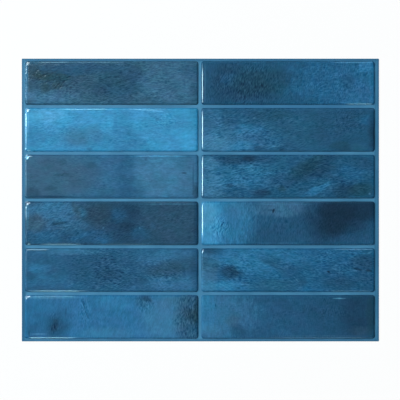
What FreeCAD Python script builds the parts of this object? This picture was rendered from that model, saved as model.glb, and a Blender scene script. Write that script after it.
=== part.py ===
import FreeCAD, Part
import math
import os

# Peel and stick backsplash tile: one flat self-adhesive sheet for a kitchen wall.
# Two columns of six oblong gel tiles are cast on a thin coloured base sheet. Between
# the tiles the bare base sheet shows as the joint colour. Each gel tile is a low
# pillow with the edge of a poured drop: it stands upright at its foot, turns in over
# a tight arc, and runs from there along a wide arc into its level face.
# A thin release liner covers the adhesive on the back until the sheet is stuck up.
#
# Millimetres. The sheet lies on its liner, tile faces up, with its length along X.
# The origin is the centre of the liner's underside.

# Tile layout, seen from the front
column_names = ("left", "right")
row_count = 6
tile_length = 148.0
tile_height = 37.3
joint_width = 2.6
border_left = 2.6
border_right = 3.6
border_top = 2.2
border_bottom = 2.3

# Gel tile
gel_thickness = 1.35
rim_width = 2.0  # how far in from the foot the rolled edge reaches
foot_radius = 0.8  # the tight arc at the foot, below the wide one
face_corner_radius = 0.3  # corner of the level face inside the rolled edge

# Base sheet, with the coat of adhesive on its back
base_thickness = 0.6
base_corner_radius = 0.5
base_edge_round = 0.2  # the cut rolls the top edge over slightly

# Release liner
liner_thickness = 0.15

# An edge round uses up no more than this share of the thickness or corner it is cut on.
round_share = 0.8

sheet_length = (
    border_left
    + len(column_names) * tile_length
    + (len(column_names) - 1) * joint_width
    + border_right
)
sheet_height = border_bottom + row_count * tile_height + (row_count - 1) * joint_width + border_top

tile_corner_radius = rim_width + face_corner_radius
base_bottom = liner_thickness
base_top = base_bottom + base_thickness


def rounded_rectangle(centre_x, centre_y, length, height, radius, z):
    """A closed wire at height z, with lines and quarter circles, anticlockwise."""
    right, left = centre_x + length / 2, centre_x - length / 2
    back, front = centre_y + height / 2, centre_y - height / 2
    point = FreeCAD.Vector
    corners = (  # centre of each quarter circle, and the angle it starts at
        (point(right - radius, front + radius, z), -math.pi / 2),
        (point(right - radius, back - radius, z), 0.0),
        (point(left + radius, back - radius, z), math.pi / 2),
        (point(left + radius, front + radius, z), math.pi),
    )
    arcs = [
        Part.ArcOfCircle(Part.Circle(centre, point(0, 0, 1), radius), start, start + math.pi / 2)
        for centre, start in corners
    ]
    edges = []
    for arc, following in zip(arcs, arcs[1:] + arcs[:1]):
        edges.append(arc.toShape())
        edges.append(Part.LineSegment(arc.EndPoint, following.StartPoint).toShape())
    return Part.Wire(edges)


def slab(length, height, radius, bottom, thickness):
    """A flat plate with rounded corners, centred on the origin."""
    outline = rounded_rectangle(0, 0, length, height, radius, bottom)
    return Part.Face(outline).extrude(FreeCAD.Vector(0, 0, thickness))


def release_liner():
    return slab(sheet_length, sheet_height, base_corner_radius, 0, liner_thickness)


def base_sheet():
    plate = slab(sheet_length, sheet_height, base_corner_radius, base_bottom, base_thickness)
    top_face = max(plate.Faces, key=lambda face: face.CenterOfMass.z)
    largest_round = round_share * min(base_thickness, base_corner_radius)
    return plate.makeFillet(min(base_edge_round, largest_round), top_face.Edges)


def halfway(one, other):
    """The unit direction midway between two unit directions."""
    return (one + other).normalize()


def pillow_edge():
    """Section of the rolled edge in the XZ plane, from the corner's axis at X 0 out to the foot."""
    point = FreeCAD.Vector
    foot = point(tile_corner_radius, 0, 0)
    shoulder = point(tile_corner_radius - rim_width, 0, gel_thickness)
    axis_low, axis_high = point(0, 0, 0), point(0, 0, gel_thickness)
    tight_radius = min(foot_radius, round_share * gel_thickness)
    # The wide arc leaves the shoulder level and runs smoothly into the tight one, so its
    # radius is that of the circle that touches both.
    across = rim_width - tight_radius
    shoulder_radius = (across**2 + gel_thickness**2 - tight_radius**2) / (2 * (gel_thickness - tight_radius))
    foot_centre = point(foot.x - tight_radius, 0, 0)
    shoulder_centre = point(shoulder.x, 0, gel_thickness - shoulder_radius)
    outward = (foot_centre - shoulder_centre).normalize()
    meeting = foot_centre + outward * tight_radius
    tight = Part.Arc(foot, foot_centre + halfway(outward, point(1, 0, 0)) * tight_radius, meeting)
    wide = Part.Arc(meeting, shoulder_centre + halfway(outward, point(0, 0, 1)) * shoulder_radius, shoulder)
    straight = [(shoulder, axis_high), (axis_high, axis_low), (axis_low, foot)]
    edges = [arc.toShape() for arc in (tight, wide)]
    edges += [Part.LineSegment(*ends).toShape() for ends in straight]
    return Part.Face(Part.Wire(edges))


def gel_tile():
    """One pillow on the XY plane, about the origin: level middle, rolled sides, turned corners."""
    up, centre = FreeCAD.Vector(0, 0, 1), FreeCAD.Vector(0, 0, 0)
    run_x = tile_length - 2 * tile_corner_radius
    run_y = tile_height - 2 * tile_corner_radius
    middle = Part.makeBox(run_x, run_y, gel_thickness, FreeCAD.Vector(-run_x / 2, -run_y / 2, 0))
    pieces = []
    for quarter in range(4):
        long_side = quarter % 2
        out, run = (run_y, run_x) if long_side else (run_x, run_y)
        section = pillow_edge().translated(FreeCAD.Vector(out / 2, -run / 2, 0))
        side = section.extrude(FreeCAD.Vector(0, run, 0))
        axis = FreeCAD.Vector(out / 2, run / 2, 0)
        corner = pillow_edge().translated(axis).revolve(axis, up, 90)
        pieces += [shape.rotated(centre, up, 90 * quarter) for shape in (side, corner)]
    return middle.fuse(pieces).removeSplitter()


def tile_centre(row, column):
    """Rows count from the top edge down, columns from the left."""
    x = -sheet_length / 2 + border_left + tile_length / 2 + column * (tile_length + joint_width)
    y = sheet_height / 2 - border_top - tile_height / 2 - row * (tile_height + joint_width)
    return FreeCAD.Vector(x, y, base_top)


def write(name, shape):
    if not shape.isValid() or shape.Volume <= 0:
        raise ValueError(f"{name} isn't a sound solid")
    shape.exportStep(f"parts/{name}.step")


os.makedirs("parts", exist_ok=True)
write("release_liner", release_liner())
write("base_sheet", base_sheet())
pillow = gel_tile()
for row in range(row_count):
    for column, side in enumerate(column_names):
        write(f"tile_row_{row + 1}_{side}", pillow.translated(tile_centre(row, column)))
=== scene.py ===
import math
from collections import namedtuple

import bpy
import numpy as np
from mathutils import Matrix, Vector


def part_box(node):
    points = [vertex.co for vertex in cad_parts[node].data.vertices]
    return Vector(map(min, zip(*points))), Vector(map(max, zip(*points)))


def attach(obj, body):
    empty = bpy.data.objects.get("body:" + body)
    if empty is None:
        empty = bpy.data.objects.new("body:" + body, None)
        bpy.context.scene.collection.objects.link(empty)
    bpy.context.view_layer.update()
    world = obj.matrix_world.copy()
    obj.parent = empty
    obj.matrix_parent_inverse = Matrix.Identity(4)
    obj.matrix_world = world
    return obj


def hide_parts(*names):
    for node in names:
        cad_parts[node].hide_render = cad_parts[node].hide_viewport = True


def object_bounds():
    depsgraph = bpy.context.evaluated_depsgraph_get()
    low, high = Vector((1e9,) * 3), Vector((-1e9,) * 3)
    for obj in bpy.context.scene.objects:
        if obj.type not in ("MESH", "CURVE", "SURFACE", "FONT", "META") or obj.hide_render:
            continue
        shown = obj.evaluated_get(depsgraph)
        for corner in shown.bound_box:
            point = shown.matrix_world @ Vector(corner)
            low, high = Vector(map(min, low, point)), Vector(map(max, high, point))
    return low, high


# A peel and stick backsplash tile, lying flat and seen from above: a coloured base sheet
# on its release liner, with twelve glossy gel tiles in mottled blues.

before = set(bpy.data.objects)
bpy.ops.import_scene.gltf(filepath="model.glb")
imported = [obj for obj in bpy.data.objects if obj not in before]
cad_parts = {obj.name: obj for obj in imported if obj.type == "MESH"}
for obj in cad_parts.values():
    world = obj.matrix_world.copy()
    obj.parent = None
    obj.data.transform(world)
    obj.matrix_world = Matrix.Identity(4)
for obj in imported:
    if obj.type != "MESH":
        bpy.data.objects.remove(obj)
cad_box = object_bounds()

mm = 0.001

# Rolled edge of a gel tile, in millimetres, and the facets that its arcs are cut into
rim_width = 2.0
foot_radius = 0.8
face_corner_radius = 0.3
tight_steps = 4
wide_steps = 8
corner_steps = 8

# Relief of a gel tile's face, in millimetres
mesh_step = 0.45
crease_depth = 0.08
swell_depth = 0.07
groove_depth = 0.05
groove_place = 2.5  # how far inside the foot the groove behind the rolled edge runs
groove_width = 0.9
relief_start = 0.3  # how far inside the foot the creases and swells begin
relief_run = 2.4  # how much farther in they are at their full depth
sag_reach = 5.5  # how far along each side a sagging corner starts
sag_radius = 3.4  # of the level face that is left inside it
sag_run = 3.2  # how far outside that radius the corner has sunk all the way
sink_limit = 0.8  # share of the gel's own height that a point may sink
sharp_angle = 60  # degrees between two facets, from which their edge is shaded as a sharp one

# Creases of the face, in millimetres
fine_gap = 0.85  # from one fine crease to the next
coarse_gap = 1.6
coarse_stroke = 1.8  # length of a coarse crease, in strokes of its zone
slow_bend = 2.4  # how far a crease leaves its line over a long way
quick_bend = 2.5  # how far it does over a short way, where strokes are 1 mm long

# Waves that the relief follows: millimetres to the right and up for one swing
slow_wave = (12, 9)
quick_wave = (4.0, 3.4)
patchy_wave = (9, 6)
swell_wave = (11, 8)
leather_wave = (13, 7)
lattice = 256  # swings after which the waves repeat
wave_gain = 1.5  # brings them to between about -1 and 1

# Painted light and shade of a gel tile, and its gloss
# Creases: painted shade in their hollows, painted light and a painted sheen on their ridges
crease_shade = 0.34  # share by which a full crease darkens or lightens the glaze
crease_gleam = (0.22, 0.19, 0.0)  # what a light crease adds, for each unit of blue in the glaze
grit_shade = 0.17  # share by which the fine grain darkens or lightens it
shade_limits = (0.3, 1.6)  # least and most that the glaze is multiplied by
leather_limits = (0.1, 1.8)  # least and most of how much the fine grain shows
rim_polish = 0.05  # weight of the clear coat on the rolled edge, and on the face
face_polish = 0.6
polish_run = 1.2  # how far inside the rolled edge the face's polish is reached
glint_core = 1.6  # above 1, a glint has its full strength in its middle part too

# For each side of a tile, a line of painted shade along its rolled edge: how much it darkens,
# how far inside the foot it runs, and half its width, in millimetres
foot_shades = {"right": (0.11, 1.2, 2.8), "bottom": (0.15, 0.9, 1.3), "top": (0.2, 0.7, 0.9)}

# Noise of the glaze, the base sheet and the liner: millimetres along and across one swing
cloud_size = (16.0, 10.0)
streak_size = (7.0, 2.4)
tinge_size = (15.0, 10.0)
grit_size = (2.6, 0.7)
joint_size = (26.0, 17.0)
fibre_size = (3.5, 0.7)
most_noise = (0.3, 0.7)  # where nearly all of Blender's noise lies
mid_noise = (0.35, 0.65)  # where the greater part of it lies

# Patches of the glaze
narrow_patch = 3.0  # millimetres, below which a patch keeps its straight borders
fray = (8.0, 6.0)  # millimetres by which noise leads the borders of the others astray
patch_border = 0.65  # how far in from its rim, as a share, a patch reaches its full strength
flat_depth = 1000.0  # millimetres of height over which patches and noise hardly change

# Painted shade along the cut edge of the base sheet, in millimetres. It darkens from cut_start to
# cut_end, measured outwards from the edge, and that band lies farther in at the left and at the
# top by cut_shift.
cut_shift = (-0.3, 0.4, 0.0)
cut_start = -3.4
cut_end = -0.6
cut_shade = 0.75

# Camera, with its lens and sensor in millimetres
view_width = 341.1 * mm  # what the photograph spans at the level of the sheet
view_offset = -0.34 * mm  # the sheet sits this far right of the picture's middle
lens = 200.0
sensor = 36.0

# Studio, in metres
lamp_distance = 2.0
floor_half = 20.0
floor_level = -0.1 * mm
floor_white = 0.93  # share of pure white in the floor as seen, the rest being the lit floor
room_level = 0.25  # strength of the room's light level with the sheet, and overhead
room_overhead = 0.05
room_rise = 0.85  # how far a direction points up, from which it counts as overhead
seed_step = 100  # from one tile's seed to the next

# Tones of the glaze, as sRGB
ink = (18, 44, 66)
navy = (27, 62, 90)
pine = (31, 55, 61)
bottle = (27, 67, 84)
deep = (34, 78, 110)
teal = (40, 90, 116)
dusk = (44, 77, 102)
slate = (60, 92, 116)
steel = (66, 110, 143)
cobalt = (38, 98, 138)
azure = (52, 121, 163)
sky = (68, 150, 197)
pale = (100, 158, 192)
storm = (40, 68, 90)
lake = (36, 85, 120)
lagoon = (48, 104, 146)
denim = (58, 112, 150)
haze = (70, 124, 160)
mist = (82, 138, 172)
surf = (60, 136, 184)
# Tone of painted highlights
painted_highlight = (112, 190, 232)

# Tones of the base sheet and of the release liner
joint_dark = (67, 120, 153)
joint_light = (80, 135, 169)
# tone of the painted shade at the base sheet's edges
joint_edge_shade = (38, 92, 126)
liner_dark = (226, 224, 214)
liner_light = (244, 243, 238)

# What the glaze is multiplied by where it leans to teal and where it leans to slate
teal_tinge = (0.86, 0.975, 0.93, 1.0)
slate_tinge = (1.06, 0.945, 0.95, 1.0)

# Places are millimetres from the tile's centre, to the right and up. A patch is a soft ellipse
# of another tone, a crease zone is an ellipse of wrinkles that run along one direction in strokes
# of some length, a glint is a spot, mostly on the rolled edge, that is polished enough to mirror
# a lamp, and a hollow is a nick in the face, with painted shade in it. Of a tile, tone is its
# ground colour, grain how strong its creases' painted light and shade and its fine grain show,
# lean the direction in degrees that its streaks run along, and sag how deep its top left corner
# falls away.
Patch = namedtuple("Patch", "x y half_length half_height turn tone strength")
Creases = namedtuple("Creases", "x y half_length half_height turn strength stroke", defaults=(3.6,))
Glint = namedtuple("Glint", "x y half_length half_height strength")
Hollow = namedtuple("Hollow", "x y half_length half_height depth shade")
Tile = namedtuple("Tile", "tone grain lean sag patches creases glints hollows")

tiles = {
    "tile_row_1_left": Tile(
        tone=(51, 89, 113),
        grain=1.1,
        lean=8,
        sag=0.35,
        patches=(
            Patch(-51, -11, 32, 10, 0, steel, 0.8),
            Patch(-48, 4, 42, 18, -6, dusk, 0.85),
            Patch(-65, 9, 9, 9, 0, pine, 0.5),
            Patch(-54, 6, 15, 7, -8, pine, 0.75),
            Patch(-43, 5, 14, 7, 0, bottle, 0.95),
            Patch(-57, -4, 6, 6, 0, pine, 0.45),
            Patch(-47, -3, 7, 4, 20, pine, 0.5),
            Patch(-9, -5, 12, 10, 0, navy, 0.55),
            Patch(7, 1, 24, 24, 0, deep, 0.65),
            Patch(2, 3, 18, 10, 0, bottle, 0.5),
            Patch(24, 2, 12, 12, 0, deep, 0.45),
            Patch(18, 7, 14, 8, 0, navy, 0.3),
            Patch(52, -1, 38, 28, 0, steel, 0.6),
            Patch(51, -2, 10, 7, 0, teal, 0.4),
            Patch(67, 10, 11, 9, 0, deep, 0.45),
            Patch(-30, 13, 46, 8, 0, deep, 0.8),
            Patch(70, -4, 4, 9, 0, navy, 0.4),
            # painted highlight: a soft light band along the left rolled edge
            Patch(-72.6, 1, 2.0, 28, 0, haze, 0.7),
        ),
        creases=(
            Creases(0, 0, 150, 60, 4, 0.6, 5.5),
            Creases(-44, -2, 30, 16, 32, 0.65, 5.0),
            Creases(-62, 7, 18, 12, 14, 0.7, 4.0),
        ),
        glints=(
            Glint(-73, 0, 3, 22, 0.06),
            Glint(-72.5, 17, 4, 4, 1.0),
            Glint(-73, 12, 3, 8, 0.4),
            Glint(-49, 17.5, 20, 3, 0.6),
            Glint(-14, 17.5, 34, 3, 0.3),
        ),
        hollows=(),
    ),
    "tile_row_1_right": Tile(
        tone=(32, 82, 114),
        grain=0.9,
        lean=78,
        sag=0,
        patches=(
            Patch(-65, -2, 20, 28, 0, deep, 0.7),
            Patch(-56, -1, 14, 22, 0, navy, 0.5),
            Patch(-49, 13, 16, 7, 0, navy, 0.5),
            Patch(-51, 3, 9, 7, 0, cobalt, 0.35),
            Patch(-33, -4, 26, 18, 0, navy, 0.75),
            Patch(-48, -13, 15, 6, 0, navy, 0.5),
            Patch(-34, 2, 18, 18, 0, bottle, 0.4),
            Patch(-12, 1, 22, 18, 0, bottle, 0.55),
            # painted highlight: a faint light line just inside the left rolled edge
            Patch(-70.9, 2, 0.8, 24, 0, steel, 0.5),
            Patch(42, 0, 56, 32, 0, cobalt, 0.95),
            Patch(46, 4, 22, 22, 0, cobalt, 0.7),
            Patch(50, 10, 18, 8, 0, lagoon, 0.4),
            Patch(64, -10, 28, 16, 0, lagoon, 0.85),
            Patch(67, 14, 12, 6, 0, surf, 0.45),
            # painted highlight along the top rolled edge
            Patch(56, 17.2, 24, 0.8, 0, azure, 0.5),
            Patch(72, 0, 5, 28, 0, azure, 0.5),
            # painted highlight along the bottom rolled edge
            Patch(58, -16.6, 20, 0.8, 0, azure, 0.5),
            Patch(51, 1, 8, 9, 0, deep, 0.35),
        ),
        creases=(Creases(40, 0, 80, 60, 8, 0.6), Creases(-36, -3, 46, 36, 72, 1.3)),
        glints=(Glint(-73, -2, 3, 21, 0.9), Glint(56, 17.5, 26, 3, 0.2), Glint(61, -17.5, 16, 3, 0.6)),
        hollows=(Hollow(31, 13, 1.2, 0.7, 0.15, 0.5),),
    ),
    "tile_row_2_left": Tile(
        tone=(64, 142, 186),
        grain=0.6,
        lean=4,
        sag=0.5,
        patches=(
            Patch(-10, 11, 84, 14, 0, sky, 0.7),
            # painted highlight: a faint light area by the top left corner
            Patch(-54, 13, 22, 9, 0, painted_highlight, 0.28),
            Patch(-44, -9, 46, 14, 0, azure, 0.3),
            Patch(-6, -11, 15, 10, 0, azure, 0.55),
            Patch(-67, -5, 11, 12, 0, azure, 0.55),
            # painted highlight: a soft light band along the left rolled edge
            Patch(-72.4, 8, 2.6, 22, 0, painted_highlight, 0.35),
            Patch(-27, -6, 26, 12, 0, steel, 0.4),
            Patch(-29, -7, 13, 8, 0, steel, 0.5),
            Patch(-17, 1, 9, 6, 0, steel, 0.3),
            Patch(11, -3, 12, 28, 0, azure, 0.6),
            Patch(3.4, -3, 2.8, 26, 0, azure, 0.4),
            Patch(17, -4, 11, 2.2, -11, azure, 0.7),
            Patch(21, -10, 13, 7, 0, azure, 0.6),
            Patch(60, -10, 20, 15, 0, sky, 0.85),
            Patch(-19, -16.5, 3.5, 2, 0, deep, 0.4),
            Patch(-68, -8, 2.5, 2.5, 0, azure, 0.8),
            Patch(-58, -9, 2.5, 2.5, 0, azure, 0.7),
            Patch(39, 9, 2.5, 2.5, 0, azure, 0.7),
            # the next two patches: painted highlights along the top rolled edge
            Patch(-22, 17.6, 50, 0.7, 0, painted_highlight, 0.5),
            Patch(32, 16.6, 18, 0.8, -4.5, painted_highlight, 0.6),
            Patch(31, -17, 3, 2, 0, azure, 0.8),
        ),
        creases=(
            Creases(0, 0, 150, 60, 6, 0.4, 5.5),
            Creases(-50, 0, 32, 22, 28, 0.4),
            Creases(46, 8, 16, 12, -40, 0.8),
        ),
        glints=(
            Glint(-72.5, 11, 5, 14, 1.0),
            Glint(-73, -7, 3, 14, 0.3),
            Glint(-23, 17.5, 28, 3, 0.9),
            Glint(30, 17.5, 26, 3, 0.5),
            Glint(-72, -17, 4.5, 3, 0.9),
        ),
        hollows=(),
    ),
    "tile_row_2_right": Tile(
        tone=(38, 88, 122),
        grain=1.05,
        lean=10,
        sag=0,
        patches=(
            Patch(20, 0, 60, 26, 0, teal, 0.35),
            Patch(46, 3, 34, 30, 0, deep, 0.6),
            Patch(-17, 13, 24, 9, 0, bottle, 0.3),
            Patch(-24, -8, 28, 12, 0, lagoon, 0.6),
            Patch(-66, 0, 18, 30, 0, denim, 0.6),
            Patch(-52, -9, 34, 17, 0, denim, 0.7),
            Patch(-50, -14, 30, 7, 0, azure, 0.8),
            Patch(-61, -12, 20, 10, 0, haze, 0.8),
            Patch(-32, 0, 18, 6, 0, azure, 0.5),
            Patch(-15, -14, 11, 0.6, -2, mist, 0.6),
            Patch(-35, -13.8, 5, 0.5, 0, mist, 0.5),
            Patch(-28, 10, 2.6, 0.6, 0, mist, 0.5),
            Patch(-5, -17, 4, 2, 0, navy, 0.7),
            Patch(-25, -16, 5, 4, 0, navy, 0.6),
            Patch(68, 8, 9, 7, 0, cobalt, 0.7),
            Patch(45, -14, 12, 6, 0, bottle, 0.5),
            Patch(60, -15, 10, 4, 0, teal, 0.6),
            Patch(73, -3, 7, 26, 0, ink, 0.55),
            Patch(73.5, -8, 3, 16, 0, ink, 0.6),
        ),
        creases=(Creases(-30, 0, 90, 60, 10, 0.65, 5.5), Creases(50, 6, 34, 24, 55, 0.6)),
        glints=(Glint(-73, 0, 3, 22, 1.0),),
        hollows=(),
    ),
    "tile_row_3_left": Tile(
        tone=(53, 101, 138),
        grain=0.75,
        lean=2,
        sag=0.85,
        patches=(
            Patch(-54, 0, 60, 32, 0, slate, 0.8),
            Patch(41, 0, 38, 28, 0, haze, 0.85),
            Patch(67, 0, 16, 26, 0, steel, 0.6),
            Patch(34, -8, 18, 14, 0, steel, 0.5),
            Patch(13, 2, 11, 32, 0, lake, 0.65),
            Patch(-4, -14, 11, 7, 0, teal, 0.5),
            Patch(18, -12, 18, 9, 0, lake, 0.5),
            Patch(-43, 1, 8, 3, 0, dusk, 0.6),
            Patch(-53, -10, 8, 3, 0, dusk, 0.6),
            Patch(-41, 13, 7, 3, 0, dusk, 0.5),
            Patch(-17, 9, 6, 3, 0, dusk, 0.4),
            Patch(-68, -14, 11, 7, 0, dusk, 0.8),
            # painted shade in the nick of the hollow, then a painted highlight on its lower lip
            Patch(62, 3, 3, 0.6, 0, ink, 0.9),
            Patch(62, 2.1, 4, 0.4, 0, pale, 0.35),
            # the next four patches: painted shade along the bottom and right rolled edges
            Patch(-52, -17, 26, 1.5, 0, navy, 0.8),
            Patch(-2, -16.8, 40, 1.2, 0, deep, 0.5),
            Patch(69.6, -2, 0.8, 20, 0, deep, 0.6),
            Patch(72, -12, 3.5, 9, 0, dusk, 0.8),
            # the next three patches: painted highlights along the left and top rolled edges and in the top
            # left corner
            Patch(-73, 0, 1.3, 28, 0, mist, 0.2),
            Patch(42, 17.4, 34, 1.1, 0, sky, 0.5),
            Patch(-71.8, 16.2, 2.4, 2.0, 45, painted_highlight, 0.7),
        ),
        creases=(Creases(0, 0, 150, 60, -4, 0.3),),
        glints=(
            Glint(-72, 16.5, 6, 5, 1.0),
            Glint(-73, -2, 2.5, 18, 0.06),
            Glint(42, 17.5, 32, 3, 0.3),
        ),
        hollows=(Hollow(62, 3, 2.6, 0.4, 0.08, 0.4),),
    ),
    "tile_row_3_right": Tile(
        tone=(36, 88, 122),
        grain=1.05,
        lean=6,
        sag=0.1,
        patches=(
            Patch(-44, 1, 56, 16, 0, azure, 0.5),
            Patch(-54, -5, 13, 9, 0, cobalt, 0.6),
            Patch(-39, 15, 31, 7, 0, navy, 0.7),
            Patch(-32, 15, 8, 4, 0, ink, 0.6),
            Patch(-6, -4, 16, 9, 0, deep, 0.6),
            Patch(-65, -8, 16, 16, 0, haze, 0.65),
            Patch(-22, -14, 11, 5, 0, navy, 0.8),
            Patch(-50, -8, 4, 3, 0, navy, 0.6),
            Patch(-5, -10, 5, 4, 0, bottle, 0.6),
            Patch(-67, 11, 12, 8, 0, haze, 0.7),
            Patch(23, 8, 34, 11, 30, navy, 0.6),
            Patch(18, 10, 26, 8, 30, bottle, 0.55),
            Patch(36, 4, 12, 8, 0, navy, 0.4),
            Patch(26, -11, 18, 4, 23, azure, 0.7),
            Patch(53, 3, 17, 11, 0, cobalt, 0.7),
            Patch(48, -13, 14, 9, 0, navy, 0.75),
            Patch(60, 13, 22, 8, 0, deep, 0.5),
            Patch(62, -12, 16, 8, 0, bottle, 0.75),
            Patch(69.5, -14.7, 1.3, 1.3, 0, pale, 0.35),
            Patch(-61, -15, 5, 2.5, 0, steel, 0.3),
        ),
        creases=(Creases(-40, 0, 70, 60, 4, 0.8, 7.0), Creases(35, 0, 70, 60, 8, 0.75, 6.0)),
        glints=(Glint(-73.2, 0, 3.4, 25, 1.0),),
        hollows=(),
    ),
    "tile_row_4_left": Tile(
        tone=(41, 77, 105),
        grain=0.95,
        lean=24,
        sag=0.6,
        patches=(
            Patch(-52, -11, 28, 9, 0, cobalt, 0.65),
            Patch(-51, 10, 34, 13, 0, denim, 0.85),
            Patch(-36, -2, 24, 9, 0, denim, 0.5),
            Patch(-65, 1, 13, 11, 0, slate, 0.95),
            Patch(-67, 3, 9, 8, 0, dusk, 0.45),
            Patch(-61, -15.4, 15, 3.4, 0, lake, 0.7),
            # the next four patches paint a dent: its shade as dark dashes, its lit lips as light ones
            Patch(-44, 0, 9, 1.6, 10, navy, 0.8),
            Patch(-40, -2.4, 9, 0.7, 10, steel, 0.7),
            Patch(-44, -4.4, 7, 0.7, -6, steel, 0.6),
            Patch(-42, -3.6, 7, 0.6, -4, navy, 0.5),
            Patch(-30, 13, 4, 8, 14, storm, 0.7),
            Patch(-35, -12, 15, 9, 0, deep, 0.9),
            Patch(-28, 10, 6, 9, 0, slate, 0.5),
            Patch(-23.5, 8.5, 5, 5, 0, azure, 0.5),
            Patch(-10, 8, 20, 14, 0, storm, 0.9),
            Patch(-17, -12, 30, 9, 0, lake, 0.95),
            Patch(-28, -13, 20, 8, 0, navy, 0.3),
            Patch(-24, -11, 12, 3.4, 14, lagoon, 0.45),
            Patch(-8, -14, 9, 3.2, -16, lagoon, 0.6),
            Patch(11, 0, 21, 28, 0, navy, 0.75),
            Patch(16, 11, 11, 9, 0, navy, 0.6),
            Patch(6, 7, 9, 9, 0, cobalt, 0.35),
            # painted highlight: a light band along the left rolled edge
            Patch(-71.8, 8, 2.0, 16, 0, mist, 0.5),
            Patch(13, -3, 10, 6, 0, ink, 0.4),
            Patch(35, -2, 5, 4, 0, azure, 0.5),
            Patch(54, 1, 38, 28, 0, dusk, 0.85),
            Patch(24, -9, 11, 8, 0, lake, 0.55),
            # painted shade along the right rolled edge, then a painted highlight along the top one
            Patch(72, 0, 2.6, 50, 0, navy, 0.6),
            Patch(50, 16.4, 38, 0.6, 0, mist, 0.4),
            Patch(-7, -4, 1.2, 1.2, 0, pale, 0.2),
            Patch(24, -4, 1.2, 1.2, 0, pale, 0.2),
        ),
        creases=(Creases(-30, 0, 90, 60, 12, 0.6), Creases(50, 0, 60, 50, -6, 0.4)),
        glints=(
            Glint(-72, 16, 4.5, 5.5, 1.0),
            Glint(-73, 10, 2.5, 10, 0.25),
            Glint(45, 17.5, 30, 3, 0.1),
            Glint(-43, -17.5, 24, 3, 0.6),
            Glint(10, -17.5, 34, 3, 0.15),
            Glint(-70.5, -17, 2.4, 2.2, 1.0),
        ),
        hollows=(),
    ),
    "tile_row_4_right": Tile(
        tone=(38, 84, 118),
        grain=0.85,
        lean=85,
        sag=0.25,
        patches=(
            Patch(-52, 2, 32, 36, 0, azure, 0.8),
            Patch(-66, 3, 18, 38, 0, surf, 0.5),
            Patch(-70, 0, 17, 38, 0, sky, 0.9),
            Patch(-70, 8, 14, 16, 0, pale, 0.35),
            Patch(-68, 0, 14, 24, 0, mist, 0.2),
            Patch(-40, 12, 20, 10, 0, denim, 0.7),
            # the next three patches: painted highlights along the top and bottom rolled edges
            Patch(-2, 16.2, 36, 1.2, 0, haze, 0.5),
            Patch(-17, 16.2, 9, 0.5, -5, mist, 0.4),
            Patch(-8, -17, 26, 0.6, 0, haze, 0.4),
            Patch(-15, -9, 16, 12, 0, deep, 0.55),
            Patch(2, -3, 15, 18, 0, deep, 0.45),
            Patch(-5, 12, 32, 9, 0, steel, 0.75),
            Patch(26, 8, 22, 20, 24, navy, 0.75),
            Patch(48, 3, 48, 24, 25, navy, 0.9),
            Patch(41, 5, 26, 16, 48, ink, 0.85),
            Patch(58, -12, 32, 8, 14, deep, 0.7),
            Patch(62, 11, 34, 15, 10, ink, 0.65),
            Patch(34, 13, 14, 9, 30, ink, 0.75),
            # the next two patches: painted shade in and beside the nick of the first hollow
            Patch(-12.5, 10.6, 1.3, 2.6, -20, ink, 0.9),
            Patch(-15, 11.2, 3.5, 1.4, 0, navy, 0.5),
        ),
        creases=(
            Creases(-10, 0, 90, 60, 88, 0.4, 5.0),
            Creases(50, 0, 60, 60, 30, 0.4),
            Creases(-58, -4, 12, 16, 62, 1.2, 5.0),
        ),
        glints=(Glint(-73, 3, 3.4, 20, 1.0), Glint(-2, 17.5, 38, 3, 0.1)),
        hollows=(
            Hollow(-12.5, 11.3, 1.3, 1.1, 0.2, 0.5),
            Hollow(-55, 0.5, 0.9, 0.9, 0.15, 0.5),
        ),
    ),
    "tile_row_5_left": Tile(
        tone=(42, 91, 126),
        grain=1.05,
        lean=8,
        sag=0.15,
        patches=(
            Patch(-50, -9, 34, 9, 0, azure, 0.2),
            Patch(-62, 2, 12, 5, 0, azure, 0.5),
            Patch(-68, -5, 8, 5, 0, navy, 0.45),
            Patch(-11, 2, 42, 22, 0, deep, 0.75),
            Patch(-5, -5, 11, 7, 0, navy, 0.4),
            Patch(52, 10, 38, 11, 0, denim, 0.7),
            Patch(54, -11, 38, 10, 0, denim, 0.7),
            Patch(46, 0, 24, 10, 0, dusk, 0.7),
            Patch(62, 5, 20, 9, 8, dusk, 0.6),
            Patch(26, -9, 9, 4, 0, navy, 0.35),
            Patch(72, 2, 7, 24, 0, navy, 0.4),
            # painted sheen below the top rolled edge, then a painted highlight along the left one
            Patch(-32, 15.8, 34, 3.4, 0, haze, 0.45),
            Patch(-72.7, 8, 1.5, 16, 0, steel, 0.3),
            Patch(-37, 13.6, 12, 1.2, 0, steel, 0.35),
        ),
        creases=(
            Creases(0, 0, 150, 60, 8, 0.25, 5.5),
            Creases(-4, 0, 44, 44, 4, 0.8, 5.0),
            Creases(44, -4, 30, 20, -30, 0.75, 5.0),
        ),
        glints=(Glint(-63, 17.8, 13, 2.6, 1.0), Glint(-47, -17.5, 34, 3, 0.9)),
        hollows=(),
    ),
    "tile_row_5_right": Tile(
        tone=(38, 99, 139),
        grain=1.05,
        lean=-6,
        sag=0.2,
        patches=(
            Patch(-68, 5, 13, 17, 0, slate, 0.6),
            # painted shade along the top rolled edge
            Patch(-64, 17, 15, 4, 0, navy, 0.7),
            Patch(-27, 9, 54, 14, 0, azure, 0.8),
            Patch(-59, -14, 30, 8, 0, azure, 0.9),
            Patch(-69, -10, 11, 16, 0, haze, 0.6),
            Patch(3, 14, 20, 8, 0, cobalt, 0.4),
            Patch(-2, 1, 34, 8, -30, lake, 0.7),
            Patch(-49, -2, 13, 8, -18, navy, 0.8),
            Patch(-46, -0.5, 9, 3, -22, ink, 0.35),
            Patch(-36.8, -10.9, 5, 0.5, 0, navy, 0.6),
            Patch(-36.8, -12.1, 5, 0.5, 0, pale, 0.5),
            Patch(-31, -14.6, 4, 0.5, 0, mist, 0.35),
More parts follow.
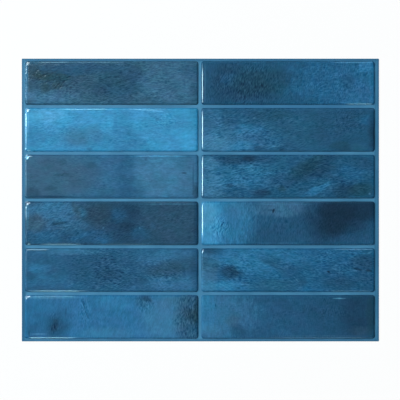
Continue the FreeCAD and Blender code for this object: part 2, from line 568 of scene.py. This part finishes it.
            Patch(-10, -13, 32, 8, 0, teal, 0.6),
            Patch(44, -5, 38, 17, 0, lake, 0.45),
            Patch(24, 7.6, 4, 0.5, 0, navy, 0.5),
            Patch(-16, 6, 13, 3.4, -24, deep, 0.5),
            Patch(66, -11, 16, 10, 0, deep, 0.6),
            Patch(68, 8, 12, 13, 0, deep, 0.65),
            Patch(67, -4, 13, 9, 0, deep, 0.5),
            Patch(63, 7, 14, 8, 0, deep, 0.8),
            Patch(44, -12, 20, 9, 0, deep, 0.8),
            Patch(14, 4, 12, 8, 0, lake, 0.3),
            Patch(59, 1.0, 6, 1.3, -14, ink, 0.7),
            Patch(69, -0.5, 4, 1.3, -10, ink, 0.8),
            Patch(58, -0.5, 4, 0.5, -14, pale, 0.3),
            # the next two patches: painted highlights by the top right corner
            Patch(70, 15.2, 4, 1.2, 24, pale, 0.3),
            Patch(60, 14.6, 14, 0.8, -4, azure, 0.6),
            Patch(13, -11, 6, 3.4, 0, deep, 0.7),
            Patch(7, -8, 4.5, 0.8, -50, mist, 0.5),
            # painted shade in the nick of the hollow
            Patch(34.5, -1.4, 2.0, 1.1, -20, ink, 0.8),
        ),
        creases=(
            Creases(0, 0, 150, 60, -6, 0.5, 7.0),
            Creases(-46, -2, 24, 18, -14, 0.6),
            Creases(52, 4, 40, 36, -8, 0.5, 5.0),
        ),
        glints=(
            Glint(-73.4, 16.4, 2.2, 3.0, 0.9),
            Glint(57, 17.5, 22, 3, 0.45),
            Glint(52, -17.5, 26, 3, 0.2),
        ),
        hollows=(Hollow(34.5, -1.4, 1.2, 1.0, 0.2, 0.5),),
    ),
    "tile_row_6_left": Tile(
        tone=(49, 110, 154),
        grain=0.9,
        lean=80,
        sag=0.45,
        patches=(
            Patch(-66, -1, 18, 30, 0, cobalt, 0.6),
            Patch(45, -1, 28, 30, 0, haze, 0.65),
            Patch(58, -3, 9, 20, 0, slate, 0.3),
            Patch(58, 14, 16, 7, 0, steel, 0.7),
            Patch(47, 12, 10, 6, 0, steel, 0.4),
            Patch(-66, -12, 12, 9, 0, deep, 0.4),
            Patch(-46, -7, 17, 20, -14, lake, 0.75),
            Patch(-48, -7, 9, 14, -14, deep, 0.6),
            Patch(-49, -7, 3.6, 9, -14, navy, 0.8),
            # painted shade darkening the left rolled edge
            Patch(-73.2, -2, 1.3, 26, 0, cobalt, 0.6),
            Patch(-70.3, -14, 0.7, 4, 0, navy, 0.7),
            Patch(-39, 4, 1, 7, -6, deep, 0.45),
            Patch(-23.7, 10.6, 0.9, 5.5, 12, navy, 0.45),
            Patch(-20.7, 1.5, 0.9, 5.5, 23, navy, 0.35),
            Patch(2, 12, 20, 9, 0, azure, 0.6),
            Patch(-2, -14, 32, 8, 0, haze, 0.4),
            Patch(27, 13.5, 9, 7, 0, dusk, 0.45),
            Patch(29.5, 14.5, 5, 3.5, 0, navy, 0.6),
            Patch(69, 0, 18, 40, 0, dusk, 0.7),
            Patch(66, 3, 8, 8, 0, pine, 0.3),
            Patch(70, 0, 7, 10, 0, pine, 0.4),
            # painted shade along the right rolled edge
            Patch(73, 5, 4, 18, 0, pine, 0.5),
            # painted highlight above the bottom rolled edge, then painted sheen along the top one
            Patch(-62, -14.6, 10, 0.7, 0, pale, 0.4),
            Patch(-53, 16.8, 34, 2.2, 0, mist, 0.6),
        ),
        creases=(
            Creases(0, 0, 150, 60, 78, 0.12, 6.0),
            Creases(68, 0, 20, 40, 84, 1.8, 5.0),
            Creases(28, 12, 14, 12, 82, 0.9),
            Creases(-23, 6, 7, 18, 102, 0.9, 7.0),
            Creases(-49, -7, 9, 13, 70, 0.9),
        ),
        glints=(
            Glint(-72, 17, 5, 3, 1.0),
            Glint(-49, 17.5, 26, 3, 0.35),
            Glint(-49, -17.5, 27, 3, 0.8),
            Glint(-64, -17.5, 9, 3, 1.0),
        ),
        hollows=(),
    ),
    "tile_row_6_right": Tile(
        tone=(40, 88, 124),
        grain=0.7,
        lean=90,
        sag=0,
        patches=(
            Patch(-60, 3, 46, 32, 0, denim, 0.85),
            Patch(-69, 4, 11, 26, 0, azure, 0.7),
            Patch(-66, -13, 13, 8, 0, haze, 0.5),
            Patch(-47, -3, 8, 8, 0, slate, 0.5),
            Patch(-42, -12, 10, 8, -30, deep, 0.7),
            Patch(52, 1, 52, 34, 0, deep, 0.9),
            Patch(6, 10, 20, 16, 0, deep, 0.4),
            Patch(62, 3, 26, 30, 0, navy, 0.75),
            Patch(62, -12, 15, 6, 0, dusk, 0.7),
            # the next two patches: painted highlights near the top and along the bottom rolled edge
            Patch(43.5, 15.8, 7, 0.7, 0, pale, 0.7),
            Patch(26, -16.3, 60, 0.6, 0, steel, 0.5),
            Patch(72, 2, 7, 30, 0, bottle, 0.6),
        ),
        creases=(Creases(0, 0, 150, 60, 2, 0.35), Creases(35, 9, 14, 14, 84, 0.5)),
        glints=(Glint(26, -17.5, 66, 3, 0.12),),
        hollows=(Hollow(-62, 10, 0.6, 2.2, 0.12, 0.5),),
    ),
}

# Patches of the base sheet, in millimetres from its centre
joint_patches = (
    Patch(76, 80, 84, 62, 0, lagoon, 0.6),
    # darker towards the bottom of the left border
    Patch(-152, -80, 5, 80, 0, joint_edge_shade, 0.8),
    # painted highlight at the top of the left border
    Patch(-150.4, 85, 1.5, 60, 0, pale, 0.5),
    # painted shade on the right border next to the tiles
    Patch(149.3, 0, 1.4, 160, 0, joint_edge_shade, 0.5),
)


def linear(tone):
    """An sRGB tone as the linear colour that a shader takes."""
    shares = [level / 255 for level in tone]
    return tuple(s / 12.92 if s <= 0.04045 else ((s + 0.055) / 1.055) ** 2.4 for s in shares) + (1.0,)


def ease(value):
    """Runs smoothly from 0 to 1 while value does."""
    value = np.clip(value, 0.0, 1.0)
    return value * value * (3 - 2 * value)


def soft_spot(x, y, place):
    """1 at the middle of an ellipse, running down to 0 at its rim."""
    return ease(1 - np.hypot((x - place.x) / place.half_length, (y - place.y) / place.half_height))


def waves(x, y, size, seed):
    """Smooth noise between about -1 and 1, with swings as long and as high as the size says."""
    angles = np.random.default_rng(seed).uniform(0, 2 * math.pi, (lattice, lattice))
    x, y = x / size[0], y / size[1]
    column, row = np.floor(x).astype(int), np.floor(y).astype(int)
    across, up = x - column, y - row

    def slope(i, j):
        angle = angles[(column + i) % lattice, (row + j) % lattice]
        return np.cos(angle) * (across - i) + np.sin(angle) * (up - j)

    share_x, share_y = ease(across), ease(up)
    low = slope(0, 0) * (1 - share_x) + slope(1, 0) * share_x
    high = slope(0, 1) * (1 - share_x) + slope(1, 1) * share_x
    return (low * (1 - share_y) + high * share_y) * wave_gain


def wrinkles(x, y, turn, stroke, seed):
    """Leathery creases that run along turn degrees, between -1 and 1. Fine ones outweigh coarse ones."""
    cosine, sine = math.cos(math.radians(turn)), math.sin(math.radians(turn))
    bend = slow_bend * waves(x, y, slow_wave, seed + 1)
    bend += quick_bend / stroke * waves(x, y, quick_wave, seed + 5)
    along = x * cosine + y * sine
    aside = y * cosine - x * sine + bend
    coarse = waves(along, aside, (coarse_stroke * stroke, coarse_gap), seed + 2)
    fine = waves(along, aside, (stroke, fine_gap), seed + 3)
    patchy = 1.0 + 0.9 * waves(x, y, patchy_wave, seed + 6)
    return np.clip((0.4 * coarse + 1.6 * fine) * patchy, -1, 1)


def rim_section(thickness):
    """How far inside the foot and how high each ring of the rolled edge lies, from the foot up."""
    across = rim_width - foot_radius
    wide_radius = (across**2 + thickness**2 - foot_radius**2) / (2 * (thickness - foot_radius))
    meeting = math.atan2(across, wide_radius - thickness)
    rings = [
        (foot_radius * (1 - math.cos(a)), foot_radius * math.sin(a))
        for a in np.linspace(0, math.pi / 2 - meeting, tight_steps, endpoint=False)
    ]
    rings += [
        (rim_width - wide_radius * math.sin(b), thickness - wide_radius * (1 - math.cos(b)))
        for b in np.linspace(meeting, 0, wide_steps + 1)
    ]
    return rings


def ring(columns, rows, radius):
    """Points anticlockwise round the inner rectangle, radius outside it, with rounded corners."""
    right, back = columns[-1], rows[-1]
    steps = np.linspace(0, math.pi / 2, corner_steps + 1)[1:-1]
    sides = (
        [(x, -back - radius) for x in columns],
        [(right + radius * math.sin(a), -back - radius * math.cos(a)) for a in steps],
        [(right + radius, y) for y in rows],
        [(right + radius * math.cos(a), back + radius * math.sin(a)) for a in steps],
        [(x, back + radius) for x in columns[::-1]],
        [(-right - radius * math.sin(a), back + radius * math.cos(a)) for a in steps],
        [(-right - radius, y) for y in rows[::-1]],
        [(-right - radius * math.cos(a), -back - radius * math.sin(a)) for a in steps],
    )
    return [point for side in sides for point in side]


def ring_on_grid(columns, rows, first):
    """The number of the inner grid's vertex that each point of a ring lies next to."""
    last_column, last_row = len(columns) - 1, len(rows) - 1
    across, up = range(last_column + 1), range(last_row + 1)
    in_corner = corner_steps - 1  # points of a ring's rounded corner, all next to one of the grid
    places = [(i, 0) for i in across] + [(last_column, 0)] * in_corner
    places += [(last_column, j) for j in up] + [(last_column, last_row)] * in_corner
    places += [(i, last_row) for i in reversed(across)] + [(0, last_row)] * in_corner
    places += [(0, j) for j in reversed(up)] + [(0, 0)] * in_corner
    return [first + row * (last_column + 1) + column for column, row in places]


def pillow(length, height, thickness):
    """Vertices of the smooth pillow, how far each lies inside the foot, and its faces."""
    corner = rim_width + face_corner_radius
    half_run, half_rise = length / 2 - corner, height / 2 - corner
    columns = np.linspace(-half_run, half_run, round(2 * half_run / mesh_step) + 1)
    rows = np.linspace(-half_rise, half_rise, round(2 * half_rise / mesh_step) + 1)
    vertices, inside, faces = [], [], []

    # The rings of the rolled edge, from the foot up
    section = rim_section(thickness)
    for distance, level in section:
        loop = ring(columns, rows, corner - distance)
        vertices += [(x, y, level) for x, y in loop]
        inside += [distance] * len(loop)
    count = len(loop)
    for k in range(len(section) - 1):
        low, high = k * count, (k + 1) * count
        for j in range(count):
            after = (j + 1) % count
            faces.append((low + j, low + after, high + after, high + j))

    # The grid of the face, joined to the last ring
    first = len(vertices)
    for y in rows:
        for x in columns:
            vertices.append((x, y, thickness))
            inside.append(min(length / 2 - abs(x), height / 2 - abs(y)))
    inner = ring_on_grid(columns, rows, first)
    last = first - count
    for j in range(count):
        after = (j + 1) % count
        corners = (last + j, last + after, inner[after], inner[j])
        faces.append(corners if inner[after] != inner[j] else corners[:3])
    width = len(columns)
    for row in range(len(rows) - 1):
        for column in range(width - 1):
            at = first + row * width + column
            faces.append((at, at + 1, at + width + 1, at + width))

    # The underside
    faces.append(tuple(range(count - 1, -1, -1)))
    return np.array(vertices), np.array(inside), faces


def painted_edge_shade(x, y):
    """Painted shade along the rolled edge: broad and faint on the right, narrow at the bottom and top."""
    distances = {"right": x.max() - x, "bottom": y - y.min(), "top": y.max() - y}
    line = np.zeros_like(x)
    for side, (strength, place, width) in foot_shades.items():
        line = np.maximum(line, strength * ease(1 - np.abs(distances[side] - place) / width))
    return line


def top_left_corner(x, y):
    """1 at the top left corner, running down to 0 at a rounded border inside it."""
    across = np.maximum(x.min() + sag_reach - x, 0)
    up = np.maximum(y - y.max() + sag_reach, 0)
    past_round = ease((np.hypot(across, up) - sag_radius) / sag_run)
    return past_round * ease(1.5 * np.minimum(across, up) / sag_reach)


def surface(tile, x, y, inside, seed):
    """How far each point sinks, its colour's factor of painted light and shade, and how much grain shows.
    """
    crease = np.zeros_like(x)
    leather = np.zeros_like(x)
    for number, zone in enumerate(tile.creases):
        strength = zone.strength * soft_spot(x, y, zone)
        leather += strength
        crease += strength * wrinkles(x, y, zone.turn, zone.stroke, seed + 10 * number)
    crease = np.clip(crease, -1, 1)
    swell = waves(x, y, swell_wave, seed + 7)
    on_face = ease((inside - relief_start) / relief_run)
    groove = ease(1 - np.abs(inside - groove_place) / groove_width)
    corner = top_left_corner(x, y)
    groove *= ease(1 - 3 * tile.sag * corner)  # it runs out before a sagging corner, and at a hollow
    sink = on_face * (crease_depth * (1 - crease) + swell_depth * (1 - swell)) / 2 + tile.sag * corner
    # Painted light and shade of the creases, less the painted shade along the rolled edge
    shade = 1 + crease_shade * tile.grain * on_face * crease - painted_edge_shade(x, y)
    for hollow in tile.hollows:
        spot = soft_spot(x, y, hollow)
        sink += hollow.depth * spot
        groove *= ease(1 - 3 * spot)
        # painted shade in the hollow
        shade -= hollow.shade * spot
    # Some grain shows everywhere, more in the crease zones, and all of it unevenly.
    leather = (0.3 + 1.5 * leather) * (1 + 0.7 * waves(x, y, leather_wave, seed + 8))
    return sink + groove_depth * groove, np.clip(shade, *shade_limits), np.clip(leather, *leather_limits)


def polish(tile, x, y, inside):
    """How glossy each point is: the face evenly, the rolled edge less, both more in the glints."""
    on_rim = ease((rim_width + polish_run - inside) / polish_run)
    dull = on_rim * rim_polish + (1 - on_rim) * face_polish
    bright = np.zeros_like(x)
    for glint in tile.glints:
        bright = np.maximum(bright, glint.strength * ease(glint_core * soft_spot(x, y, glint)))
    return dull + (1 - dull) * bright


def gel_tile(name, tile, smooth, seed):
    """The tile's visible form, which stands in for its plain solid: the smooth pillow with its relief."""
    low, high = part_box(name)
    vertices, inside, faces = smooth
    vertices = vertices.copy()
    x, y = vertices[:, 0], vertices[:, 1]
    sink, shade, leather = surface(tile, x, y, inside, seed)
    vertices[:, 2] -= np.minimum(sink, sink_limit * vertices[:, 2])
    mesh = bpy.data.meshes.new(f"{name}_gel")
    mesh.from_pydata((vertices * mm).tolist(), [], faces)
    layers = {"shade": shade, "leather": leather, "polish": polish(tile, x, y, inside)}
    for label, values in layers.items():
        layer = mesh.attributes.new(label, "FLOAT", "POINT")
        layer.data.foreach_set("value", values.astype(np.float32))
    mesh.shade_smooth()
    mesh.set_sharp_from_angle(angle=math.radians(sharp_angle))
    piece = bpy.data.objects.new(f"{name}_gel", mesh)
    bpy.context.scene.collection.objects.link(piece)
    piece.location = ((low.x + high.x) / 2, (low.y + high.y) / 2, low.z)
    mesh.materials.append(glaze(name, tile, seed))
    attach(piece, "root")
    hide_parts(name)


def add(tree, kind, inputs=None, **settings):
    """A new node. An input is a plain value or another node's output."""
    node = tree.nodes.new(kind)
    for name, value in settings.items():
        setattr(node, name, value)
    for name, value in (inputs or {}).items():
        if isinstance(value, bpy.types.NodeSocket):
            tree.links.new(value, node.inputs[name])
        else:
            node.inputs[name].default_value = value
    return node


def new_material(name):
    """A material with its node tree and its finished shader, ready for links."""
    material = bpy.data.materials.new(name)
    material.use_nodes = True
    tree = material.node_tree
    return material, tree, tree.nodes["Principled BSDF"]


def maths(tree, operation, *values):
    """One step of arithmetic on numbers."""
    return add(tree, "ShaderNodeMath", dict(enumerate(values)), operation=operation).outputs["Value"]


def vector_maths(tree, operation, *values):
    """One step of arithmetic on vectors or colours."""
    return add(tree, "ShaderNodeVectorMath", dict(enumerate(values)), operation=operation).outputs["Vector"]


def attribute(tree, name):
    """A number that the mesh holds for each of its points."""
    return add(tree, "ShaderNodeAttribute", attribute_name=name).outputs["Fac"]


def millimetres(tree):
    """Places on the piece in millimetres from its own origin."""
    place = add(tree, "ShaderNodeTexCoord").outputs["Object"]
    return scaled(tree, place, 1 / mm)


def scaled(tree, vector, factor):
    """A vector or colour times a number."""
    node = add(tree, "ShaderNodeVectorMath", {0: vector, "Scale": factor}, operation="SCALE")
    return node.outputs["Vector"]


def stretch(tree, vector, shift, size, turn=0.0):
    """The vector measured from shift in units of size, both a pair of numbers, along turn degrees."""
    lean = (0, 0, math.radians(turn))
    values = {"Vector": vector, "Location": (*shift, 0), "Rotation": lean, "Scale": (*size, flat_depth)}
    return add(tree, "ShaderNodeMapping", values, vector_type="TEXTURE").outputs["Vector"]


def noise(tree, vector, detail):
    """Blender's noise with one swing for each unit of the vector: its Fac and Color outputs."""
    values = {"Vector": vector, "Scale": 1.0, "Detail": detail, "Roughness": 0.55}
    return add(tree, "ShaderNodeTexNoise", values, noise_dimensions="2D").outputs


def swing(tree, value, low, high, start=0.0, end=1.0):
    """A value from start to end, mapped to the range from low to high."""
    values = {"Value": value, "From Min": start, "From Max": end, "To Min": low, "To Max": high}
    return add(tree, "ShaderNodeMapRange", values).outputs["Result"]


def blend(tree, share, first, second):
    """Colour first, turning into colour second as share goes from 0 to 1."""
    # The node has its sockets for numbers and vectors too: its colours are 6 and 7, and 2 going out.
    node = add(tree, "ShaderNodeMix", {0: share, 6: first, 7: second}, data_type="RGBA")
    return node.outputs[2]


def paint(tree, place, smoke, colour, patch):
    """The colour with one soft patch laid over it, streaked by the smoke."""
    oval = stretch(tree, place, (patch.x, patch.y), (patch.half_length, patch.half_height), patch.turn)
    ball = add(tree, "ShaderNodeTexGradient", {"Vector": oval}, gradient_type="SPHERICAL").outputs["Fac"]
    streaked = maths(tree, "MULTIPLY", ball, smoke)
    values = {"Value": streaked, "From Max": patch_border, "To Max": patch.strength}
    share = add(tree, "ShaderNodeMapRange", values, interpolation_type="SMOOTHSTEP").outputs["Result"]
    return blend(tree, share, colour, linear(patch.tone))


def lit(tree, colour, light):
    """The colour times painted light and shade: light sides get a painted sheen, dark ones turn deep."""
    blue = add(tree, "ShaderNodeSeparateXYZ", {0: colour}).outputs["Z"]
    gleam = maths(tree, "MULTIPLY", blue, maths(tree, "SUBTRACT", light, 1.0))
    paler = vector_maths(tree, "MULTIPLY_ADD", gleam, crease_gleam, scaled(tree, colour, light))
    return vector_maths(tree, "MAXIMUM", paler, scaled(tree, colour, shade_limits[0]))


def glaze(name, tile, seed):
    """Mottled glaze under clear gel: soft patches with frayed borders, clouds, streaks and fine creases."""
    material, tree, shader = new_material(f"{name}_glaze")
    place = millimetres(tree)
    # Each noise is shifted by its own multiples of the seed, so that no two tiles have the same.
    cloud = noise(tree, stretch(tree, place, (37.0 * seed, 11.0 * seed), cloud_size), 3.0)
    wander = vector_maths(tree, "SUBTRACT", cloud["Color"], (0.5, 0.5, 0.5))
    frayed = vector_maths(tree, "MULTIPLY_ADD", wander, (*fray, 0.0), place)
    along_lean = stretch(tree, place, (53.0 * seed, 29.0 * seed), streak_size, tile.lean)
    streaks = noise(tree, along_lean, 4.0)["Fac"]
    smoke = swing(tree, streaks, 0.8, 1.2, *most_noise)
    colour = linear(tile.tone)
    for patch in tile.patches:
        narrow = min(patch.half_length, patch.half_height) < narrow_patch
        colour = paint(tree, place if narrow else frayed, smoke, colour, patch)
    tinge = noise(tree, stretch(tree, place, (19.0 * seed, 43.0 * seed), tinge_size), 2.0)["Fac"]
    hue = blend(tree, swing(tree, tinge, 0.0, 1.0, *mid_noise), teal_tinge, slate_tinge)
    colour = vector_maths(tree, "MULTIPLY", colour, hue)
    colour = scaled(tree, colour, swing(tree, cloud["Fac"], 0.93, 1.07, *mid_noise))
    colour = scaled(tree, colour, swing(tree, streaks, 0.9, 1.1, *most_noise))
    grit = noise(tree, stretch(tree, place, (0.0, 0.0), grit_size, tile.lean), 1.0)["Fac"]
    fleck = swing(tree, grit, -grit_shade * tile.grain, grit_shade * tile.grain, *most_noise)
    # The glaze times painted light and shade of creases, rolled edges and hollows, plus the grain's flecks
    light = maths(tree, "MULTIPLY_ADD", fleck, attribute(tree, "leather"), attribute(tree, "shade"))
    tree.links.new(lit(tree, colour, light), shader.inputs["Base Color"])
    shader.inputs["Roughness"].default_value = 0.5
    shader.inputs["Specular IOR Level"].default_value = 0.05
    tree.links.new(attribute(tree, "polish"), shader.inputs["Coat Weight"])
    shader.inputs["Coat Roughness"].default_value = 0.13
    shader.inputs["Coat IOR"].default_value = 1.8
    return material


def joint_blue(size):
    """Smooth coloured sheet with painted shade towards its cut edge."""
    material, tree, shader = new_material("joint_blue")
    place = millimetres(tree)
    from_middle = vector_maths(tree, "ABSOLUTE", vector_maths(tree, "ADD", place, cut_shift))
    half = (size.x / 2 / mm, size.y / 2 / mm, 0.0)
    past_edge = vector_maths(tree, "SUBTRACT", from_middle, half)
    sides = add(tree, "ShaderNodeSeparateXYZ", {0: past_edge}).outputs
    # painted shade towards the cut edge
    cut = swing(tree, maths(tree, "MAXIMUM", sides["X"], sides["Y"]), 0.0, cut_shade, cut_start, cut_end)
    cloud = noise(tree, stretch(tree, place, (3.0, 5.0), joint_size), 3.0)["Fac"]
    share = swing(tree, cloud, 0.0, 1.0, *most_noise)
    colour = blend(tree, share, linear(joint_dark), linear(joint_light))
    for patch in joint_patches:
        colour = paint(tree, place, 1.0, colour, patch)
    colour = blend(tree, cut, colour, linear(joint_edge_shade))
    tree.links.new(colour, shader.inputs["Base Color"])
    shader.inputs["Roughness"].default_value = 0.45
    shader.inputs["Specular IOR Level"].default_value = 0.15
    return material


def liner_paper():
    """White release paper with faint fibres."""
    material, tree, shader = new_material("liner_paper")
    fibres = noise(tree, stretch(tree, millimetres(tree), (0.0, 0.0), fibre_size), 5.0)["Fac"]
    colour = blend(tree, fibres, linear(liner_dark), linear(liner_light))
    tree.links.new(colour, shader.inputs["Base Color"])
    shader.inputs["Roughness"].default_value = 0.7
    return material


def dress(name, material):
    """Gives a carried-over CAD node its material."""
    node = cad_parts[name]
    if not node.material_slots:
        node.data.materials.append(None)
    for slot in node.material_slots:
        slot.link = "OBJECT"
        slot.material = material


def lamp(name, azimuth, elevation, width, height, radiance, tint, aside=0.0):
    """A soft box turned as if it faced the middle of the sheet from the azimuth and elevation given.

    Azimuth 0 is to the right of the sheet, and 90 past its top edge. Aside moves it sideways.
    """
    turn, rise = math.radians(azimuth), math.radians(elevation)
    light = bpy.data.lights.new(name, "AREA")
    light.shape = "RECTANGLE"
    light.size, light.size_y = width, height
    light.energy = radiance * math.pi * width * height
    light.color = tint
    box = bpy.data.objects.new(name, light)
    bpy.context.scene.collection.objects.link(box)
    back = Vector((math.cos(turn) * math.cos(rise), math.sin(turn) * math.cos(rise), math.sin(rise)))
    level = Vector((-math.sin(turn), math.cos(turn), 0.0))
    box.location = back * lamp_distance + level * aside
    box.rotation_mode = "QUATERNION"
    box.rotation_quaternion = back.to_track_quat("Z", "Y")
    box.visible_camera = False
    return box


def studio():
    """A dim room with a bright strip on the left, a broad soft box behind it, two weak ones and cards."""
    cool = (0.5, 0.88, 1.0)
    lamp("left_strip", 180, 42, 0.42, 1.0, 19.5, (0.66, 0.93, 1.0), aside=-0.08)
    lamp("key_box", 128, 44, 0.9, 0.9, 7.5, (0.95, 1.0, 1.0))
    lamp("back_box", 84, 42, 0.8, 0.7, 4.5, cool)
    lamp("front_box", 268, 42, 0.8, 0.7, 4.0, cool)
    cards = (
        lamp("corner_card", 135, 66, 0.6, 0.5, 14.0, (0.7, 0.95, 1.0)),
        lamp("back_card", 90, 46, 1.2, 0.5, 6.0, (0.4, 0.85, 1.0)),
        lamp("front_card", 270, 28, 1.2, 0.5, 12.0, (0.42, 0.92, 1.0)),
    )
    for card in cards:
        card.visible_diffuse = False  # it only draws highlights on glossy edges
    world = bpy.data.worlds.new("room")
    bpy.context.scene.world = world
    world.use_nodes = True
    tree = world.node_tree
    direction = add(tree, "ShaderNodeTexCoord").outputs["Generated"]
    rise = add(tree, "ShaderNodeSeparateXYZ", {0: direction}).outputs["Z"]
    room = tree.nodes["Background"]
    room.inputs["Color"].default_value = (1.0, 1.0, 1.0, 1.0)
    strength = swing(tree, rise, room_level, room_overhead, 0.0, room_rise)
    tree.links.new(strength, room.inputs["Strength"])


def white_floor():
    """A pale floor that the camera and reflections see as white, with the object's shadow kept."""
    material, tree, shader = new_material("floor_white")
    shader.inputs["Base Color"].default_value = (0.9, 0.9, 0.9, 1.0)
    shader.inputs["Roughness"].default_value = 1.0
    shader.inputs["Specular IOR Level"].default_value = 0.0
    path = add(tree, "ShaderNodeLightPath").outputs
    seen = maths(tree, "MAXIMUM", path["Is Camera Ray"], path["Is Glossy Ray"])
    seen = maths(tree, "MAXIMUM", seen, path["Is Transmission Ray"])
    white = add(tree, "ShaderNodeEmission", {"Color": (1, 1, 1, 1), "Strength": 1.0}).outputs["Emission"]
    share = maths(tree, "MULTIPLY", seen, floor_white)
    mixed = add(tree, "ShaderNodeMixShader", {0: share, 1: shader.outputs["BSDF"], 2: white})
    tree.links.new(mixed.outputs["Shader"], tree.nodes["Material Output"].inputs["Surface"])
    return material


def floor():
    """A broad level floor just under the sheet."""
    mesh = bpy.data.meshes.new("floor")
    signs = ((-1, -1), (1, -1), (1, 1), (-1, 1))
    corners = [(x * floor_half, y * floor_half, floor_level) for x, y in signs]
    mesh.from_pydata(corners, [], [(0, 1, 2, 3)])
    mesh.materials.append(white_floor())
    piece = bpy.data.objects.new("floor", mesh)
    bpy.context.scene.collection.objects.link(piece)


def camera():
    """A long lens that looks straight down on the sheet, from as far as the photograph's frame needs."""
    data = bpy.data.cameras.new("camera")
    data.lens, data.sensor_width = lens, sensor
    eye = bpy.data.objects.new("camera", data)
    bpy.context.scene.collection.objects.link(eye)
    eye.location = (view_offset, 0.0, cad_box[1].z + view_width * lens / sensor)
    bpy.context.scene.camera = eye


def main():
    """The camera, the studio, the twelve tiles and the looks of the two sheets under them."""
    bpy.context.scene.view_settings.view_transform = "Standard"
    camera()
    studio()
    floor()
    low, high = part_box("tile_row_1_left")
    smooth = pillow(*((high - low) / mm))
    for number, (name, tile) in enumerate(tiles.items()):
        gel_tile(name, tile, smooth, seed_step * (number + 1))
    low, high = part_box("base_sheet")
    dress("base_sheet", joint_blue(high - low))
    dress("release_liner", liner_paper())


main()
